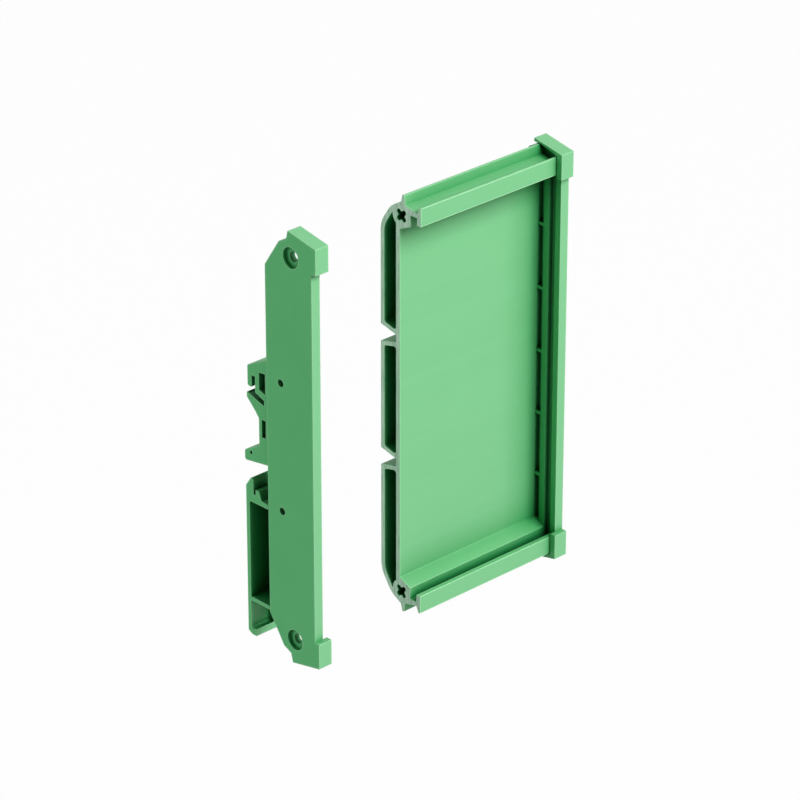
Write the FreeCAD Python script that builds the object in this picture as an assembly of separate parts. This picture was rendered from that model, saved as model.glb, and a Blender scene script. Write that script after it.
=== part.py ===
"""Rail mount for a printed circuit board, in the state in which it is supplied for fitting.

An extruded carrier profile holds the board between two lips. An end plate with a moulded clip foot
closes each end and snaps onto a 35 mm top-hat rail. The right end plate is screwed on. The left end
plate stands off the profile, ready to be pushed home along X.

Frame, in millimetres: X runs along the rail, Z is up, and Y points away from the viewer. The origin
is on the front plane of the rail's flanges, at mid height of the rail and mid length of the profile.
"""
import FreeCAD, Part
import math
import os

from FreeCAD import Vector

# The rail that the feet clip onto
RAIL_HEIGHT = 35.0
RAIL_FLANGE = 5.0
RAIL_SHEET = 1.0
RAIL_CLEARANCE = 0.3

# The board that slides into the profile
BOARD_WIDTH = 120.0
BOARD_THICKNESS = 1.6
BOARD_CLEARANCE = 0.3
BOARD_PLAY = 0.5
BOARD_GRIP = 2.0

# The extruded profile, from its back face to its lips
PROFILE_LENGTH = 55.0
PROFILE_BACK = 7.7
WALL = 1.5
CHAMBER_DEPTH = 4.7
LIP_THICKNESS = 1.5
LIP_WEB = 1.3
LIP_HOOK = 1.9
LIP_TIP_WIDTH = 0.6
RIDGE_HEIGHT = 3.9
RIDGE_TIP_WIDTH = 0.7
RIDGE_FOOT_WIDTH = 1.8
RIDGE_BACK_RISE = 1.7
RIDGE_FRONT_RISE = 1.0
RIDGE_OFFSET = 0.7
SHOULDER_RADIUS = 8.0
SHOULDER_BACK_DROP = 5.5
SHOULDER_FRONT_RISE = 0.7
SHOULDER_FRONT_DEPTH = 4.1
RAMP_FOOT_DROP = 5.4
RAMP_EDGE_DROP = 3.5

# Notches along the back of the profile
NOTCH_SPACING = 39.1
NOTCH_RAISE = 1.3
NOTCH_MOUTH = 5.4
NOTCH_FLOOR = 2.4
NOTCH_WALL = 1.3
CHAMBER_RADIUS = 0.8

# Channels for the end screws, and the screws
SCREW_DROP = 1.1
SCREW_OFFSET = 0.7
SCREW_BOSS_RADIUS = 3.6
STAR_TIP_RADIUS = 1.3
STAR_LOBE_RADIUS = 2.2
STAR_LOBE_WIDTH = 1.5
SCREW_ROOT_CLEARANCE = 0.05
SCREW_LENGTH = 9.5
SCREW_POINT = 1.6
SCREW_POINT_RADIUS = 0.4
HEAD_RADIUS = 2.8
HEAD_HEIGHT = 1.2
HEAD_DOME = 0.5
CROSS_WIDTH = 0.7
CROSS_LENGTH = 2.8
CROSS_DEPTH = 0.8

# End plates
PLATE_THICKNESS = 3.1
PLATE_BACK_MARGIN = 2.1
PLATE_CORNER_DROP = 0.7
PLATE_SHOULDER_DEPTH = 0.4
PLATE_SHOULDER_RISE = 1.8
PLATE_FRONT_SETBACK = 0.5
SCREW_HOLE_RADIUS = 1.6
COUNTERBORE_RADIUS = 3.1
COUNTERBORE_DEPTH = 1.2
CORE_HOLE_RADIUS = 1.15
CORE_HOLE_SPACING = 39.8
CORE_HOLE_SETBACK = 2.5
BOARD_SLOT_DEPTH = 1.6
RECESS_DEPTH = 1.8
RECESS_LAND = 2.1
RECESS_RIB = 1.0
RECESS_RIB_PITCH = 20.1
RECESS_RIB_COUNT = 5

# Hammer-shaped heads that wrap the corners of the profile
CORNER_THICKNESS = 4.8
CORNER_CLEARANCE = 0.3
CORNER_FRONT = 1.9
CORNER_REACH = 1.1
CORNER_TOP_BACK = 1.1
CORNER_TOP_FRONT = 0.9
CORNER_DEPTH = 11.0
CORNER_FOOT_DEPTH = 11.7
CORNER_FOOT_RISE = 0.8
CORNER_RIM_OFFSET = 0.7
CORNER_OVERLAP = 1.5

# Clip feet, all one shape across X, and the flange of the plate that they stand on
FOOT_INSET = 0.6
FOOT_THICKNESS = 7.7
FOOT_ROOT = 0.5
FLANGE_THICKNESS = 1.4
FLANGE_WELD = 1.0
SLOT_FRONT_PLAY = 0.1

# Hook of a foot over the upper edge of the rail
HOOK_WALL = 1.7
HOOK_TOP = 3.0
HOOK_SLANT_RISE = 4.5
HOOK_REACH = 3.2
HOOK_TIP_SLANT = 0.3
HOOK_TOP_RADIUS = 0.85
HOOK_TIP_RADIUS = 0.4

# Spring lug that presses up inside the rail, and the slanted slot that frees it
LUG_BACK = 3.4
LUG_TIP_HEIGHT = 1.7
LUG_UNDERSIDE_DROP = 5.1
LUG_TIP_RADIUS = 0.4
LUG_ROOT_RADIUS = 1.5
SPRING_SLOT_WIDTH = 1.6
SPRING_SLOT_FRONT = 1.8
SPRING_SLOT_DROP = 2.3
SPRING_MOUTH_RISE = 1.2
SPRING_MOUTH_WIDTH = 1.8
SPRING_TIP_WALL = 0.6
SPRING_TIP_DROP = 0.3

# Middle of a foot and the tooth inside the rail
BODY_GAP = 1.5
BODY_TOP_DROP = 6.8
BODY_RADIUS = 0.75
TOOTH_BACK = 4.6
TOOTH_RISE = 2.9
TOOTH_TIP_HEIGHT = 3.2
TOOTH_TOP_SLANT = 3.2
TOOTH_ROOT_RISE = 1.6
TOOTH_HOLE_RADIUS = 0.5
TOOTH_HOLE_BACK = 2.0
TOOTH_HOLE_RISE = 3.1

# Openings that core out the thick part of a foot
WINDOW_FRONT_WALL = 1.3
UPPER_WINDOW_WIDTH = 2.5
UPPER_WINDOW_TOP_RISE = 2.2
UPPER_WINDOW_TOP_SLANT = 0.2
UPPER_WINDOW_BOTTOM_RISE = 2.2
UPPER_WINDOW_BOTTOM_SLANT = 0.9
LOWER_WINDOW_WIDTH = 1.6
LOWER_WINDOW_HEIGHT = 5.5

# Latch under the lower edge of the rail
POST_FRONT = 1.0
POST_WIDTH = 1.4
LATCH_BAR = 1.7
LATCH_BAR_DROP = 4.6
LATCH_TIP_LENGTH = 2.8
LATCH_TIP_SLANT = 0.3
LATCH_FLOOR = 0.9
LATCH_HOOK = 3.2
LATCH_HOOK_CHAMFER = 0.85
LATCH_HOOK_RADIUS = 0.4
LATCH_BACK_RADIUS = 0.85

# Release lever, and the rib on which it bends
LEVER_WALL = 1.4
LEVER_BACK = 4.4
LEVER_GAP = 0.8
LEVER_RADIUS = 0.7
HINGE_RIB = 1.2
HINGE_OVERLAP = 0.7
LEVER_WEB = 0.8
TOE_DROP = 11.0
TOE_REACH = 3.4
TOE_FLAT = 1.6
TOE_HEIGHT = 1.8
TOE_BACK_RISE = 0.9
TOE_TIP_RISE = 0.4

# How far the left end plate stands off the profile, and the gap that is left when it is pushed home
STAND_OFF = 38.5
SEAT_CLEARANCE = 0.3

# Places that follow from the sizes above
rail_edge_z = RAIL_HEIGHT / 2
rail_inner_z = rail_edge_z - RAIL_FLANGE
profile_end_x = PROFILE_LENGTH / 2

back_y = -PROFILE_BACK
chamber_back_y = back_y - WALL
chamber_front_y = chamber_back_y - CHAMBER_DEPTH
tray_y = chamber_front_y - WALL
screw_y = tray_y - SCREW_OFFSET
board_back_y = screw_y - SCREW_BOSS_RADIUS
board_front_y = board_back_y - BOARD_THICKNESS - 2 * BOARD_PLAY
lip_front_y = board_front_y - LIP_THICKNESS

board_edge_z = BOARD_WIDTH / 2 + BOARD_CLEARANCE
lip_inner_z = board_edge_z - BOARD_GRIP - BOARD_CLEARANCE
lip_web_z = board_edge_z + LIP_WEB
lip_tip_z = lip_web_z + LIP_HOOK
ridge_tip_z = lip_web_z + RIDGE_HEIGHT
ridge_back_z = lip_web_z + RIDGE_BACK_RISE
ridge_front_z = lip_web_z + RIDGE_FRONT_RISE
screw_z = board_edge_z - SCREW_DROP
ramp_edge_z = board_edge_z - RAMP_EDGE_DROP
ramp_foot_z = board_edge_z - RAMP_FOOT_DROP
shoulder_z = board_edge_z - SHOULDER_BACK_DROP
shoulder_top_z = board_edge_z + SHOULDER_FRONT_RISE
shoulder_top_y = back_y - SHOULDER_FRONT_DEPTH
ridge_y = screw_y - RIDGE_OFFSET
upper_notch_z = NOTCH_RAISE + NOTCH_SPACING / 2
lower_notch_z = NOTCH_RAISE - NOTCH_SPACING / 2

plate_back_y = back_y + PLATE_BACK_MARGIN
plate_corner_z = shoulder_z - PLATE_CORNER_DROP
plate_front_y = lip_front_y - PLATE_FRONT_SETBACK
corner_front_y = lip_front_y - CORNER_CLEARANCE - CORNER_FRONT
corner_top_front_z = lip_tip_z + CORNER_CLEARANCE + CORNER_TOP_FRONT
corner_top_back_z = ridge_tip_z + CORNER_CLEARANCE + CORNER_TOP_BACK
corner_lower_z = lip_inner_z - CORNER_REACH
corner_back_y = corner_front_y + CORNER_DEPTH
corner_foot_y = corner_front_y + CORNER_FOOT_DEPTH

# Places on a foot
foot_root_y = plate_back_y - FOOT_ROOT
hook_top_z = rail_edge_z + HOOK_TOP
hook_root_z = hook_top_z + HOOK_SLANT_RISE
slot_front_y = -SLOT_FRONT_PLAY
slot_back_y = RAIL_SHEET + RAIL_CLEARANCE
lug_z = rail_inner_z - RAIL_CLEARANCE
body_top_z = lug_z - BODY_TOP_DROP
tooth_bottom_z = TOOTH_RISE - rail_inner_z
tooth_top_z = tooth_bottom_z + TOOTH_TIP_HEIGHT
latch_bar_z = -rail_edge_z - LATCH_BAR_DROP
latch_bar_top_z = latch_bar_z + LATCH_BAR
lever_front_y = LEVER_BACK - LEVER_WALL
hinge_z = -plate_corner_z
toe_z = hinge_z - TOE_DROP


def rounded_face(corners, x):
    """A face across X from corners (y, z) or (y, z, radius), with an arc at each radius."""
    points = [Vector(x, c[0], c[1]) for c in corners]
    radii = [c[2] if len(c) > 2 else 0.0 for c in corners]
    count = len(points)
    starts, ends, middles = [], [], []
    for i, point in enumerate(points):
        before = (points[i - 1] - point).normalize()
        after = (points[(i + 1) % count] - point).normalize()
        half_angle = before.getAngle(after) / 2
        trim = radii[i] / math.tan(half_angle)
        starts.append(point + before * trim)
        ends.append(point + after * trim)
        inward = before + after
        if radii[i] > 0:
            inward.normalize()
            middles.append(point + inward * (radii[i] / math.sin(half_angle) - radii[i]))
        else:
            middles.append(point)
    edges = []
    for i in range(count):
        if radii[i] > 0:
            edges.append(Part.Arc(starts[i], middles[i], ends[i]).toShape())
        edges.append(Part.makeLine(ends[i], starts[(i + 1) % count]))
    return Part.Face(Part.Wire(edges))


def slab(corners, x_from, x_to):
    """The outline given by corners, made solid between two places along X."""
    return rounded_face(corners, x_from).extrude(Vector(x_to - x_from, 0, 0))


def bar(y_from, y_to, z_from, z_to, x_from, x_to):
    """A rectangular block."""
    return slab([(y_from, z_from), (y_to, z_from), (y_to, z_to), (y_from, z_to)], x_from, x_to)


def rod(radius, y, z, x_from, x_to):
    """A round rod along X."""
    direction = Vector(x_to - x_from, 0, 0)
    return Part.makeCylinder(radius, abs(x_to - x_from), Vector(x_from, y, z), direction)


def below(corners):
    """The same corners on the other side of mid height, in the opposite order."""
    return [(c[0], -c[1]) + tuple(c[2:]) for c in reversed(corners)]


def both_heights(shape):
    """A shape made above mid height, with its mirror image below it."""
    return shape.fuse(shape.mirror(Vector(0, 0, 0), Vector(0, 0, 1)))


def notch_corners(z):
    """The four corners of a notch in the back, from its lower mouth edge to its upper one."""
    return [
        (back_y, z - NOTCH_MOUTH / 2),
        (chamber_front_y, z - NOTCH_FLOOR / 2),
        (chamber_front_y, z + NOTCH_FLOOR / 2),
        (back_y, z + NOTCH_MOUTH / 2),
    ]


def profile_outline():
    """The outside of the extrusion: back wall, notches, arched shoulders, ridges, lips and tray."""
    upper = [
        (back_y, shoulder_z, SHOULDER_RADIUS),
        (shoulder_top_y, shoulder_top_z, SHOULDER_RADIUS),
        (ridge_y + RIDGE_FOOT_WIDTH / 2, ridge_back_z),
        (ridge_y + RIDGE_TIP_WIDTH / 2, ridge_tip_z),
        (ridge_y - RIDGE_TIP_WIDTH / 2, ridge_tip_z),
        (ridge_y - RIDGE_FOOT_WIDTH / 2, ridge_front_z),
        (board_front_y, lip_web_z),
        (lip_front_y + LIP_TIP_WIDTH, lip_tip_z),
        (lip_front_y, lip_tip_z),
        (lip_front_y, lip_inner_z),
        (board_front_y, lip_inner_z),
        (board_front_y, board_edge_z),
        (board_back_y, board_edge_z),
        (board_back_y, ramp_edge_z),
        (tray_y, ramp_foot_z),
    ]
    return upper + below(upper) + notch_corners(lower_notch_z) + notch_corners(upper_notch_z)


def screw_channel(x_from, x_to):
    """A four-lobed channel: the screw cuts its thread in the four ridges between the lobes."""
    channel = rod(STAR_TIP_RADIUS, screw_y, screw_z, x_from, x_to)
    straight = STAR_LOBE_RADIUS - STAR_LOBE_WIDTH / 2
    lobes = bar(-STAR_LOBE_WIDTH / 2, STAR_LOBE_WIDTH / 2, -straight, straight, x_from, x_to)
    for end in (-straight, straight):
        lobes = lobes.fuse(rod(STAR_LOBE_WIDTH / 2, 0, end, x_from, x_to))
    for turn in (45, -45):
        lobe = lobes.copy()
        lobe.rotate(Vector(0, 0, 0), Vector(1, 0, 0), turn)
        lobe.translate(Vector(0, screw_y, screw_z))
        channel = channel.fuse(lobe)
    return channel


def shoulder_inside_z(y):
    """Height of the inner face of the sloped shoulder at a given y."""
    slope = (shoulder_top_z - shoulder_z) / (shoulder_top_y - back_y)
    return shoulder_z + slope * (y - back_y) - WALL * math.hypot(1, slope)


def notch_wall_z(y):
    """Distance from the middle of a notch to the chamber beside it, at a given y."""
    share = (back_y - y) / (back_y - chamber_front_y)
    slope = (NOTCH_MOUTH - NOTCH_FLOOR) / 2 / (back_y - chamber_front_y)
    return NOTCH_MOUTH / 2 - share * (NOTCH_MOUTH - NOTCH_FLOOR) / 2 + NOTCH_WALL * math.hypot(1, slope)


def outer_chamber(notch_distance):
    """Corners of the hollow between a notch at this distance from mid height and the shoulder."""
    return [
        (chamber_back_y, notch_distance + notch_wall_z(chamber_back_y), CHAMBER_RADIUS),
        (chamber_back_y, shoulder_inside_z(chamber_back_y), SHOULDER_RADIUS - WALL),
        (chamber_front_y, shoulder_inside_z(chamber_front_y)),
        (chamber_front_y, notch_distance + notch_wall_z(chamber_front_y), CHAMBER_RADIUS),
    ]


def profile_chambers(x_from, x_to):
    """The three tall hollows: one between the notches, and one beyond each of them."""
    middle = slab([
        (chamber_back_y, lower_notch_z + notch_wall_z(chamber_back_y), CHAMBER_RADIUS),
        (chamber_back_y, upper_notch_z - notch_wall_z(chamber_back_y), CHAMBER_RADIUS),
        (chamber_front_y, upper_notch_z - notch_wall_z(chamber_front_y), CHAMBER_RADIUS),
        (chamber_front_y, lower_notch_z + notch_wall_z(chamber_front_y), CHAMBER_RADIUS),
    ], x_from, x_to)
    upper = slab(outer_chamber(upper_notch_z), x_from, x_to)
    lower = slab(below(outer_chamber(-lower_notch_z)), x_from, x_to)
    bosses = both_heights(rod(SCREW_BOSS_RADIUS, screw_y, screw_z, x_from, x_to))
    return middle.fuse([upper, lower]).cut(bosses)


def make_profile():
    """The extruded carrier, open at both sawn ends."""
    left, right = -profile_end_x, profile_end_x
    body = slab(profile_outline(), left, right)
    body = body.cut(profile_chambers(left, right))
    return body.cut(both_heights(screw_channel(left, right)))


def plate_outline():
    """Outside of an end plate: straight back, sloped corners, and a head at the top and bottom."""
    upper = [
        (plate_back_y, plate_corner_z),
        (shoulder_top_y + PLATE_SHOULDER_DEPTH, shoulder_top_z + PLATE_SHOULDER_RISE),
        (corner_foot_y, ridge_back_z + CORNER_FOOT_RISE),
        (corner_back_y, corner_top_back_z),
        (corner_front_y, corner_top_front_z),
        (corner_front_y, corner_lower_z),
        (plate_front_y, corner_lower_z),
    ]
    return upper + below(upper)


def corner_rim(x_from, x_to):
    """Inward part of a head: a rim in front of the lip and above the ridge of the profile."""
    return slab([
        (corner_front_y, corner_lower_z),
        (lip_front_y - CORNER_CLEARANCE, corner_lower_z),
        (lip_front_y - CORNER_CLEARANCE, lip_tip_z + CORNER_CLEARANCE),
        (ridge_y - CORNER_RIM_OFFSET, ridge_tip_z + CORNER_CLEARANCE),
        (corner_back_y, ridge_tip_z + CORNER_CLEARANCE),
        (corner_back_y, corner_top_back_z),
        (corner_front_y, corner_top_front_z),
    ], x_from, x_to)


def foot_hook():
    """Upper part of the foot: hook over the rail, spring lug and tooth inside it."""
    hook_back_y = slot_back_y + HOOK_WALL
    hook_tip_z = rail_edge_z - HOOK_REACH
    slot_top_z = rail_edge_z + RAIL_CLEARANCE
    return [
        (foot_root_y, hook_root_z),
        (hook_back_y, hook_top_z, HOOK_TOP_RADIUS),
        (hook_back_y, hook_tip_z, HOOK_TIP_RADIUS),
        (slot_back_y, hook_tip_z - HOOK_TIP_SLANT, HOOK_TIP_RADIUS),
        (slot_back_y, slot_top_z),
        (slot_front_y, slot_top_z),
        (slot_front_y, lug_z),
        (LUG_BACK, lug_z, LUG_TIP_RADIUS),
        (LUG_BACK, lug_z - LUG_TIP_HEIGHT, LUG_TIP_RADIUS),
        (slot_front_y, lug_z - LUG_UNDERSIDE_DROP, LUG_ROOT_RADIUS),
        (-BODY_GAP, body_top_z, BODY_RADIUS),
        (-BODY_GAP, tooth_top_z + TOOTH_TOP_SLANT, BODY_RADIUS),
        (TOOTH_BACK, tooth_top_z, BODY_RADIUS),
        (TOOTH_BACK, tooth_bottom_z, BODY_RADIUS),
        (foot_root_y, tooth_bottom_z + TOOTH_ROOT_RISE),
    ]


def foot_spring_slot():
    """Slanted slot above the lug, closed at the front and open towards the rail."""
    front_y = plate_back_y + SPRING_SLOT_FRONT
    bottom_z = lug_z - SPRING_SLOT_DROP
    tip_y = LUG_BACK - SPRING_TIP_WALL
    return [
        (front_y, bottom_z),
        (front_y, bottom_z + SPRING_SLOT_WIDTH),
        (tip_y - SPRING_MOUTH_WIDTH, lug_z + SPRING_MOUTH_RISE),
        (tip_y, lug_z + SPRING_MOUTH_RISE),
        (tip_y, lug_z - SPRING_TIP_DROP),
    ]


def foot_windows():
    """Two openings that core out the thick part of the foot."""
    front_y = plate_back_y + WINDOW_FRONT_WALL
    upper_back_y = front_y + UPPER_WINDOW_WIDTH
    upper_top_z = rail_edge_z + UPPER_WINDOW_TOP_RISE
    upper_bottom_z = lug_z + UPPER_WINDOW_BOTTOM_RISE
    upper = [
        (front_y, upper_top_z + UPPER_WINDOW_TOP_SLANT),
        (upper_back_y, upper_top_z),
        (upper_back_y, upper_bottom_z),
        (front_y, upper_bottom_z - UPPER_WINDOW_BOTTOM_SLANT),
    ]
    lower_back_y = front_y + LOWER_WINDOW_WIDTH
    lower_bottom_z = body_top_z - LOWER_WINDOW_HEIGHT
    lower = [
        (front_y, lower_bottom_z),
        (lower_back_y, lower_bottom_z),
        (lower_back_y, body_top_z),
        (front_y, body_top_z),
    ]
    return upper, lower


def foot_lever():
    """Lower part of the foot: bar and latch under the rail, then the long lever with its toe."""
    bar_tip_y = plate_back_y + LEVER_GAP
    post_back_y = POST_WIDTH - POST_FRONT
    post_top_z = -rail_edge_z - RAIL_CLEARANCE
    floor_z = latch_bar_top_z + LATCH_FLOOR
    latch_top_z = -rail_edge_z + LATCH_HOOK
    return [
        (bar_tip_y, latch_bar_z),
        (bar_tip_y, latch_bar_top_z - LATCH_TIP_SLANT),
        (bar_tip_y + LATCH_TIP_LENGTH, latch_bar_top_z),
        (-POST_FRONT, post_top_z),
        (post_back_y, post_top_z),
        (post_back_y, floor_z),
        (slot_back_y, floor_z),
        (slot_back_y, latch_top_z - LATCH_HOOK_CHAMFER),
        (slot_back_y + LATCH_HOOK_CHAMFER, latch_top_z, LATCH_HOOK_RADIUS),
        (LEVER_BACK, -rail_edge_z, LATCH_BACK_RADIUS),
        (LEVER_BACK, toe_z + TOE_BACK_RISE),
        (LEVER_BACK - TOE_FLAT, toe_z),
        (LEVER_BACK - TOE_REACH, toe_z),
        (LEVER_BACK - TOE_REACH, toe_z + TOE_HEIGHT + TOE_TIP_RISE),
        (lever_front_y, toe_z + TOE_HEIGHT, LEVER_RADIUS),
        (lever_front_y, latch_bar_z, LEVER_RADIUS),
    ]


def lever_web():
    """Thin web that closes the inner side of the lever. It leaves the plate free, so the lever bends."""
    web_front_y = plate_back_y + LEVER_GAP
    toe_front_y = LEVER_BACK - TOE_REACH
    return [
        (web_front_y, latch_bar_z),
        (web_front_y, hinge_z),
        (toe_front_y, hinge_z),
        (toe_front_y, toe_z + TOE_HEIGHT),
        (lever_front_y, toe_z + TOE_HEIGHT),
        (lever_front_y, latch_bar_z),
    ]


def make_foot(x_from, x_to):
    """The clip foot from its inner side to its outer side, all but the lever's web one shape across X."""
    foot = slab(foot_hook(), x_from, x_to)
    foot = foot.cut(slab(foot_spring_slot(), x_from, x_to))
    for window in foot_windows():
        foot = foot.cut(slab(window, x_from, x_to))
    tooth_hole_z = tooth_bottom_z + TOOTH_HOLE_RISE
    foot = foot.cut(rod(TOOTH_HOLE_RADIUS, TOOTH_HOLE_BACK, tooth_hole_z, x_from, x_to))
    lever = slab(foot_lever(), x_from, x_to)
    hinge = bar(foot_root_y, lever_front_y + HINGE_OVERLAP, hinge_z, hinge_z + HINGE_RIB, x_from, x_to)
    web = slab(lever_web(), x_from, x_from + math.copysign(LEVER_WEB, x_to - x_from))
    return foot.fuse([lever, hinge, web])


def make_end_plate(inner_x, outward):
    """One end plate with its heads, holes, inner grooves and foot, all one moulding."""
    outer_x = inner_x + outward * PLATE_THICKNESS

    def depth_x(depth):
        return inner_x + outward * depth

    def inset_x(inset):
        return outer_x - outward * inset

    plate = slab(plate_outline(), inner_x, outer_x)
    rims = both_heights(corner_rim(inset_x(CORNER_THICKNESS), inset_x(CORNER_OVERLAP)))
    foot_inner_x = inset_x(FOOT_INSET + FOOT_THICKNESS)
    foot = make_foot(foot_inner_x, inset_x(FOOT_INSET))
    flange = bar(plate_back_y - FLANGE_THICKNESS, plate_back_y, hinge_z, hook_root_z,
                 foot_inner_x, depth_x(FLANGE_WELD))
    plate = plate.fuse([rims, foot, flange])

    board_slot = bar(board_front_y, board_back_y, -board_edge_z, board_edge_z,
                     inner_x, depth_x(BOARD_SLOT_DEPTH))
    recess_front_y = board_back_y + RECESS_LAND
    recess = bar(recess_front_y, tray_y, -ramp_foot_z, ramp_foot_z, inner_x, depth_x(RECESS_DEPTH))
    for i in range(RECESS_RIB_COUNT):
        rib_z = (i - (RECESS_RIB_COUNT - 1) / 2) * RECESS_RIB_PITCH
        recess = recess.cut(bar(recess_front_y, tray_y, rib_z - RECESS_RIB / 2, rib_z + RECESS_RIB / 2,
                                inner_x, depth_x(RECESS_DEPTH)))
    screw_hole = rod(SCREW_HOLE_RADIUS, screw_y, screw_z, inner_x, outer_x)
    counterbore = rod(COUNTERBORE_RADIUS, screw_y, screw_z, inset_x(COUNTERBORE_DEPTH), outer_x)
    core_hole_y = chamber_front_y + CORE_HOLE_SETBACK
    core_hole = rod(CORE_HOLE_RADIUS, core_hole_y, CORE_HOLE_SPACING / 2, inner_x, outer_x)
    holes = both_heights(screw_hole.fuse([counterbore, core_hole]))
    return plate.cut([board_slot, recess, holes]).removeSplitter()


def make_screw(inner_x, z):
    """Cross-recessed screw that holds the right end plate, cut to its root where it grips."""
    root_radius = STAR_TIP_RADIUS - SCREW_ROOT_CLEARANCE
    seat_x = inner_x + PLATE_THICKNESS - COUNTERBORE_DEPTH
    tip_x = seat_x - SCREW_LENGTH
    head = rod(HEAD_RADIUS, screw_y, z, seat_x, seat_x + HEAD_HEIGHT - HEAD_DOME)
    dome_x = seat_x + HEAD_HEIGHT - HEAD_DOME
    dome = Part.makeCone(HEAD_RADIUS, HEAD_RADIUS - HEAD_DOME, HEAD_DOME,
                         Vector(dome_x, screw_y, z), Vector(1, 0, 0))
    shank = rod(root_radius, screw_y, z, tip_x + SCREW_POINT, seat_x)
    point = Part.makeCone(SCREW_POINT_RADIUS, root_radius, SCREW_POINT,
                          Vector(tip_x, screw_y, z), Vector(1, 0, 0))
    screw = head.fuse([dome, shank, point])
    top_x = seat_x + HEAD_HEIGHT
    for half_y, half_z in ((CROSS_LENGTH / 2, CROSS_WIDTH / 2), (CROSS_WIDTH / 2, CROSS_LENGTH / 2)):
        screw = screw.cut(bar(screw_y - half_y, screw_y + half_y, z - half_z, z + half_z,
                              top_x - CROSS_DEPTH, top_x))
    return screw.removeSplitter()


left_inner_x = -profile_end_x - STAND_OFF

pieces = {
    "pcb_profile": make_profile(),
    "left_end_plate": make_end_plate(left_inner_x, -1),
    "right_end_plate": make_end_plate(profile_end_x, 1),
    "right_upper_screw": make_screw(profile_end_x, screw_z),
    "right_lower_screw": make_screw(profile_end_x, -screw_z),
}

os.makedirs("parts", exist_ok=True)
for name, shape in pieces.items():
    shape.exportStep(os.path.join("parts", name + ".step"))
    box = shape.BoundBox
    print(name, "solids", len(shape.Solids), "valid", shape.isValid(), "volume", round(shape.Volume, 1),
          "x", round(box.XMin, 2), round(box.XMax, 2), "y", round(box.YMin, 2), round(box.YMax, 2),
          "z", round(box.ZMin, 2), round(box.ZMax, 2))
print("travel of the left end plate", STAND_OFF - SEAT_CLEARANCE)
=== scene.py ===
import math

import bmesh
import bpy
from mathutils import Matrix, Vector


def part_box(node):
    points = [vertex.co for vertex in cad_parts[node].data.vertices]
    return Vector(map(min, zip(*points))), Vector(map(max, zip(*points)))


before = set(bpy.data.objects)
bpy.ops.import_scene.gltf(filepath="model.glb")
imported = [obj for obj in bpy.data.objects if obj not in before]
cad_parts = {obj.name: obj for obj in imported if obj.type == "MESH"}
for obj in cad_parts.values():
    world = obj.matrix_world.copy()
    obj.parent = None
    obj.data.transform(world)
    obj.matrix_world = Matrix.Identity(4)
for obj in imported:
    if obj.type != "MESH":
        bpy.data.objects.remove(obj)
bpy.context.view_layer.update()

# The carrier profile is one length of rigid green plastic, extruded through a die and cut off with a
# fine saw. The die leaves faint streaks along its whole length, and the cut ends are rubbed pale.
# The front green and its streak are paler tones painted as sheen on faces turned to the front or up; the
# back green is the tone of the other faces.
PROFILE_GREEN = (0.2, 0.565, 0.26)
PROFILE_STREAK = (0.19, 0.545, 0.245)
PROFILE_BACK = (0.112, 0.53, 0.188)
PROFILE_EDGE = 0.00025
# How far the painted shade reaches from close walls on the profile.
PROFILE_REACH = 0.015
# Strength of the painted edge highlight on the profile.
PROFILE_EDGE_HIGHLIGHT = 0.75
PROFILE_RELIEF = 0.00002
PROFILE_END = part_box("pcb_profile")[1][0]
CUT_DEPTH = (PROFILE_END - 0.0006, PROFILE_END - 0.0002)
SAWN_PALE = (0.68, 0.89, 0.73)
SAWN_GREEN = (0.38, 0.65, 0.46)
# Painted highlight: the pale green of the light lines on open edges.
EDGE_HIGHLIGHT_GREEN = (0.46, 0.9, 0.52)
# Painted shade: the greens that the colour darkens to where walls are close, deepest in narrow recesses.
SHADED_GREEN = (0.015, 0.285, 0.068)
DEEP_SHADE_GREEN = (0.0005, 0.024, 0.003)
GLOSS = 0.3
ALONG_STREAKS = (0.02, 1.0, 1.0)
ALONG_FINE_STREAKS = (0.012, 1.0, 1.0)
ALONG_SAW_MARKS = (1.0, 0.9, 0.06)
FACES_FRONT_OR_UP = (0.5, 0.95)
FACES_END = (0.7, 0.95)
SHARP_EDGE = (0.004, 0.07)
EDGE_WIDTHS = 2.6
OPEN_EDGE = (0.5, 0.8)
DEEP_TO_SHADED = (0.0, 0.55)
SHADE_FROM = 0.38
SHADE_SPAN = 0.6


class Socket:
    """A shader socket. An expression on it adds Math nodes to its finish."""

    def __init__(self, finish, source):
        self.finish = finish
        self.source = source

    def math(self, operation, *values):
        numbered = {str(i): value for i, value in enumerate(values)}
        return self.finish.node("Math", {"operation": operation}, **numbered)

    def __add__(self, other):
        return self.math("ADD", self, other)

    __radd__ = __add__

    def __sub__(self, other):
        return self.math("SUBTRACT", self, other)

    def __rsub__(self, other):
        return self.math("SUBTRACT", other, self)

    def __mul__(self, other):
        return self.math("MULTIPLY", self, other)

    __rmul__ = __mul__

    def __truediv__(self, other):
        return self.math("DIVIDE", self, other)

    def __rtruediv__(self, other):
        return self.math("DIVIDE", other, self)

    def __abs__(self):
        return self.math("ABSOLUTE", self)

    def over(self, low, high):
        """0 below low, 1 above high, and a soft step between them."""
        return self.finish.node("MapRange", {"interpolation_type": "SMOOTHSTEP"},
                                Value=self, **{"From Min": low, "From Max": high})


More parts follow.
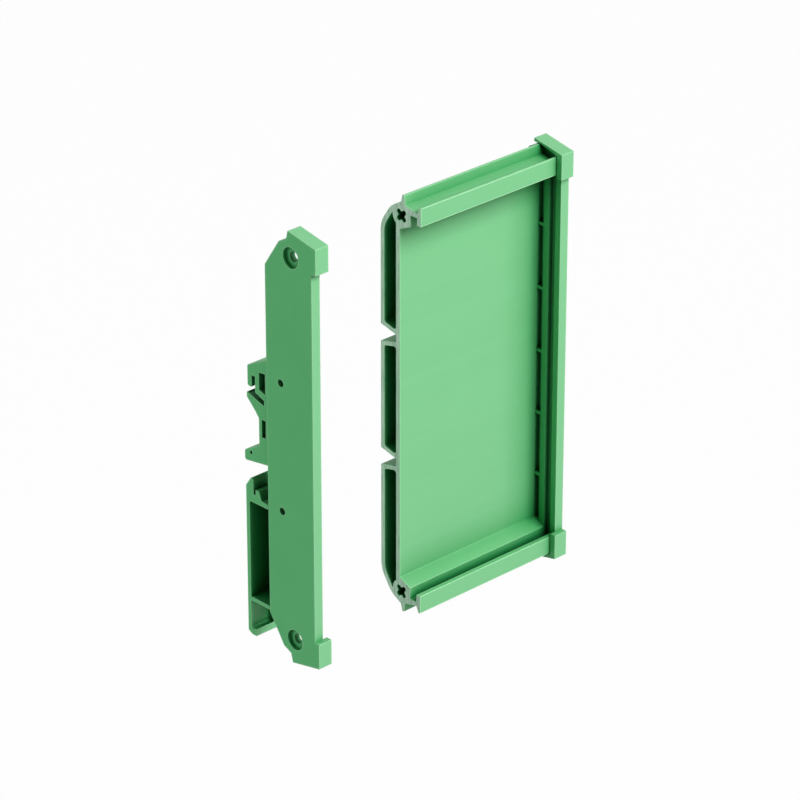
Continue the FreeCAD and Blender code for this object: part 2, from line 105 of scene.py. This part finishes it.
class Finish:
    """A surface finish: one shader, and the nodes that feed it."""

    def __init__(self, name):
        self.material = bpy.data.materials.new(name)
        self.material.use_nodes = True
        self.tree = self.material.node_tree
        self.shader = self.tree.nodes["Principled BSDF"]
        self.place = self.node("TexCoord", out="Object")
        self.facing = self.node("TexCoord", out="Normal")

    def put(self, socket, value):
        """Links a socket to another one, or sets its constant."""
        if isinstance(value, Socket):
            self.tree.links.new(value.source, socket)
        elif socket.type == "RGBA":
            socket.default_value = (*value, 1.0)
        else:
            socket.default_value = value

    def node(self, kind, settings=None, out=0, **values):
        """A node of a kind, with its settings and the values of its inputs, by name or number."""
        made = self.tree.nodes.new("ShaderNode" + kind)
        for key, value in (settings or {}).items():
            setattr(made, key, value)
        for key, value in values.items():
            self.put(made.inputs[int(key)] if key.isdigit() else made.inputs[key], value)
        return Socket(self, made.outputs[out])

    def blend(self, amount, first, second):
        """The first colour where amount is 0 and the second where it is 1."""
        return self.node("Mix", {"data_type": "RGBA"}, out=2, **{"0": amount, "6": first, "7": second})

    def axis(self, vector, number):
        """The X, Y or Z of a vector, by number."""
        return self.node("SeparateXYZ", out=number, Vector=vector)

    def noise(self, scale, detail, stretch=(1.0, 1.0, 1.0)):
        """Noise on object coordinates, drawn out along an axis where its stretch is small."""
        drawn_out = self.node("Mapping", Vector=self.place, Scale=stretch)
        return self.node("TexNoise", Vector=drawn_out, Scale=scale, Detail=detail)

    def turned_forward(self):
        """1 on faces turned to the front or up, where a paler tone is painted as sheen, and 0 on the
        others.
        """
        return (self.axis(self.facing, 2) - self.axis(self.facing, 1)).over(*FACES_FRONT_OR_UP)

    def edges(self, radius):
        """1 on edges, falling to 0 at a radius from them."""
        rounded = self.node("Bevel", {"samples": 8}, Radius=radius)
        flat = self.node("NewGeometry", out="Normal")
        alike = self.node("VectorMath", {"operation": "DOT_PRODUCT"}, out="Value",
                          **{"0": rounded, "1": flat})
        return (1.0 - alike).over(*SHARP_EDGE)

    def weathered(self, base, edge, highlight_strength, reach):
        """The base colour with a painted highlight on open edges, and painted shade in deep green where
        walls are close.
        """
        openness = self.node("AmbientOcclusion", {"samples": 12}, out="AO", Distance=reach)
        # Painted highlight: pale lines along the edges of open faces.
        pale = self.edges(edge * EDGE_WIDTHS) * openness.over(*OPEN_EDGE) * highlight_strength
        # Painted shade: the colour darkens to deep green where walls are close.
        shaded = self.blend(openness.over(*DEEP_TO_SHADED), DEEP_SHADE_GREEN, SHADED_GREEN)
        return self.blend((openness - SHADE_FROM) / SHADE_SPAN, shaded, self.blend(pale, base, EDGE_HIGHLIGHT_GREEN))

    def relief(self, height, depth, edge):
        """Bump of a given depth in metres on top of softly rounded edges."""
        rounded = self.node("Bevel", {"samples": 6}, Radius=edge)
        self.set(Normal=self.node("Bump", Height=height, Distance=depth, Strength=1.0, Normal=rounded))

    def set(self, **values):
        """Sets inputs of the shader."""
        for key, value in values.items():
            self.put(self.shader.inputs[key.replace("_", " ")], value)

    def on(self, name):
        """Gives the finish to a piece of the frame."""
        for part_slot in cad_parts[name].material_slots:
            part_slot.material = self.material


extruded = Finish("extruded green plastic")
streaks = extruded.noise(scale=420.0, detail=3.0, stretch=ALONG_STREAKS)
fine_streaks = extruded.noise(scale=2600.0, detail=2.0, stretch=ALONG_FINE_STREAKS)
clouds = extruded.noise(scale=60.0, detail=2.0)
saw_marks = extruded.noise(scale=3000.0, detail=3.0, stretch=ALONG_SAW_MARKS)
at_end = (abs(extruded.axis(extruded.facing, 0)).over(*FACES_END)
          * abs(extruded.axis(extruded.place, 0)).over(*CUT_DEPTH))
streaked = extruded.blend(streaks.over(0.3, 0.7) * 0.5 + clouds.over(0.3, 0.75) * 0.4,
                          PROFILE_GREEN, PROFILE_STREAK)
# Painted sheen: faces turned to the front or up take the paler streaked tones, the others the back green.
skin_with_painted_sheen = extruded.blend(extruded.turned_forward(), PROFILE_BACK, streaked)
sawn = extruded.blend(saw_marks.over(0.35, 0.7), SAWN_PALE, SAWN_GREEN)
extruded.set(Base_Color=extruded.weathered(extruded.blend(at_end, skin_with_painted_sheen, sawn),
                                           PROFILE_EDGE, PROFILE_EDGE_HIGHLIGHT, PROFILE_REACH),
             Roughness=0.4 + streaks * 0.06 + fine_streaks * 0.06 + at_end * 0.3,
             Specular_IOR_Level=GLOSS)
extruded.relief(fine_streaks * (1.0 - at_end) * 0.4 + streaks * 0.2 + saw_marks * at_end * 2.0,
                PROFILE_RELIEF, PROFILE_EDGE)
extruded.on("pcb_profile")

# Each end plate is moulded with its clip foot in one shot of the same green, in a spark-finished
# mould, so its faces have a fine even grain. The right one is screwed to the end of the profile.
PLATE_GREEN = (0.108, 0.54, 0.186)
PLATE_CLOUD = (0.1, 0.515, 0.175)
# The paler tone below is painted sheen on faces turned to the front or up.
PLATE_PAINTED_SHEEN = (0.21, 0.565, 0.27)
PLATE_EDGE = 0.0003
# How far the painted shade reaches from close walls on the plates.
PLATE_REACH = 0.022
# Strength of the painted edge highlight on the plates.
PLATE_EDGE_HIGHLIGHT = 0.3
PLATE_RELIEF = 0.000025
ALONG_FLOW = (1.0, 1.0, 0.25)


def moulded(name):
    """The finish of one end plate."""
    finish = Finish(name)
    grain = finish.noise(scale=5200.0, detail=3.0)
    cloud = finish.noise(scale=90.0, detail=3.0)
    flow = finish.noise(scale=160.0, detail=2.0, stretch=ALONG_FLOW)
    cloudy = finish.blend(cloud.over(0.3, 0.75) * 0.6 + flow.over(0.4, 0.8) * 0.4,
                          PLATE_GREEN, PLATE_CLOUD)
    # Painted sheen: faces turned to the front or up take the paler tone.
    skin_with_painted_sheen = finish.blend(finish.turned_forward(), cloudy, PLATE_PAINTED_SHEEN)
    finish.set(Base_Color=finish.weathered(skin_with_painted_sheen, PLATE_EDGE, PLATE_EDGE_HIGHLIGHT, PLATE_REACH),
               Roughness=0.42 + grain * 0.1 + cloud * 0.06,
               Specular_IOR_Level=GLOSS)
    finish.relief(grain, PLATE_RELIEF, PLATE_EDGE)
    return finish


moulded("moulded green plastic, right").on("right_end_plate")

# Two cross-recessed screws of zinc-plated steel hold the right end plate. They cut their own threads
# in the star-shaped channels, and their heads sink into the plate's counterbores.
ZINC = (0.62, 0.63, 0.62)
ZINC_SHADE = (0.5, 0.52, 0.53)
ZINC_EDGE = 0.0001
ZINC_RELIEF = 0.00001
AROUND_HEAD = (0.15, 1.0, 1.0)

zinc = Finish("zinc plated steel")
patches = zinc.noise(scale=700.0, detail=3.0)
turning = zinc.noise(scale=4200.0, detail=2.0, stretch=AROUND_HEAD)
zinc.set(Base_Color=zinc.blend(patches.over(0.35, 0.7), ZINC, ZINC_SHADE),
         Metallic=1.0,
         Roughness=0.26 + patches * 0.12 + turning * 0.05)
zinc.relief(turning, ZINC_RELIEF, ZINC_EDGE)
zinc.on("right_upper_screw")
zinc.on("right_lower_screw")

# The left end plate is the mirror image of the right one, with the same mould finish. It stands off
# the profile with empty screw holes, and slides home to the profile's sawn end.
moulded("moulded green plastic, left").on("left_end_plate")

# The floor is a plain pale sheet, well below the mount. It shows as white to the camera and in
# reflections, with the soft shadow kept.
FLOOR_DROP = 0.5
FLOOR_HALF = 4.0
FLOOR_WHITE = (0.82, 0.82, 0.82)
FLOOR_ROUGHNESS = 0.9
SEEN_AS_WHITE = 0.98


def seen_directly(tree):
    """1 for rays from the camera, reflections and clear parts, and 0 for the light on surfaces."""
    path = tree.nodes.new("ShaderNodeLightPath")
    seen = path.outputs["Is Camera Ray"]
    for way in ("Is Glossy Ray", "Is Transmission Ray"):
        either = tree.nodes.new("ShaderNodeMath")
        either.operation = "MAXIMUM"
        tree.links.new(seen, either.inputs[0])
        tree.links.new(path.outputs[way], either.inputs[1])
        seen = either.outputs[0]
    return seen


floor_mesh = bpy.data.meshes.new("floor")
floor_shape = bmesh.new()
bmesh.ops.create_grid(floor_shape, x_segments=1, y_segments=1, size=FLOOR_HALF)
bmesh.ops.translate(floor_shape, verts=floor_shape.verts, vec=(0.0, 0.0, -FLOOR_DROP))
floor_shape.to_mesh(floor_mesh)
floor_shape.free()
floor = bpy.data.objects.new("floor", floor_mesh)
bpy.context.scene.collection.objects.link(floor)

pale = Finish("pale floor")
pale.set(Base_Color=FLOOR_WHITE, Roughness=FLOOR_ROUGHNESS)
shown = Socket(pale, seen_directly(pale.tree)) * SEEN_AS_WHITE
lit = Socket(pale, pale.shader.outputs[0])
whitened = pale.node("MixShader", **{"0": shown, "1": lit, "2": pale.node("Emission")})
pale.put(pale.tree.nodes["Material Output"].inputs["Surface"], whitened)
floor_mesh.materials.append(pale.material)

# The room is plain white all round. It shows as white behind the mount and in its gloss, and gives
# only a weak even light.
ROOM_LIGHT = (0.11, 0.11, 0.11, 1.0)
ROOM_WHITE = (1.0, 1.0, 1.0, 1.0)

world = bpy.data.worlds.new("white room")
world.use_nodes = True
tree = world.node_tree
room = tree.nodes["Background"]
room.inputs["Color"].default_value = ROOM_LIGHT
white = tree.nodes.new("ShaderNodeBackground")
white.inputs["Color"].default_value = ROOM_WHITE
mix = tree.nodes.new("ShaderNodeMixShader")
tree.links.new(seen_directly(tree), mix.inputs[0])
tree.links.new(room.outputs[0], mix.inputs[1])
tree.links.new(white.outputs[0], mix.inputs[2])
tree.links.new(mix.outputs[0], tree.nodes["World Output"].inputs["Surface"])
bpy.context.scene.world = world

# A large soft lamp in front and above gives the light fronts and tops, and a weaker one on the left
# lifts the sides that are turned to it.
MIDDLE = Vector((-0.019, -0.010, 0.0))


def direction(azimuth, elevation):
    """The way from the mount to a place around it. Azimuth 0 is in front and 90 is on the right."""
    turn, rise = math.radians(azimuth), math.radians(elevation)
    return Vector((math.sin(turn) * math.cos(rise), -math.cos(turn) * math.cos(rise), math.sin(rise)))


def stand(name, data, target, away, distance):
    """Puts a lamp or the camera at a distance from a target, and turns it to the target."""
    holder = bpy.data.objects.new(name, data)
    holder.location = target + away * distance
    holder.rotation_mode = "QUATERNION"
    holder.rotation_quaternion = (-away).to_track_quat("-Z", "Y")
    bpy.context.scene.collection.objects.link(holder)
    return holder


def soft_lamp(name, azimuth, elevation, distance, size, power):
    """A square lamp that looks at the mount."""
    lamp = bpy.data.lights.new(name, "AREA")
    lamp.shape = "SQUARE"
    lamp.size = size
    lamp.energy = power
    stand(name, lamp, MIDDLE, direction(azimuth, elevation), distance)


soft_lamp("front lamp", azimuth=6.0, elevation=42.0, distance=1.6, size=0.8, power=29.0)
soft_lamp("left lamp", azimuth=-122.0, elevation=14.0, distance=1.8, size=1.0, power=10.0)

# The camera stands to the front left and above, far away, with a long lens.
CAMERA_TARGET = Vector((-0.03754, -0.026, 0.00926))
CAMERA_AZIMUTH = -43.77
CAMERA_ELEVATION = 26.09
CAMERA_DISTANCE = 1.1688
CAMERA_LENS = 188.55
CAMERA_SENSOR = 36.0
CAMERA_CLIP = (0.05, 20.0)

lens = bpy.data.cameras.new("camera")
lens.lens = CAMERA_LENS
lens.sensor_width = CAMERA_SENSOR
lens.clip_start, lens.clip_end = CAMERA_CLIP
towards_camera = direction(CAMERA_AZIMUTH, CAMERA_ELEVATION)
bpy.context.scene.camera = stand("camera", lens, CAMERA_TARGET, towards_camera, CAMERA_DISTANCE)
bpy.context.scene.view_settings.view_transform = "Standard"
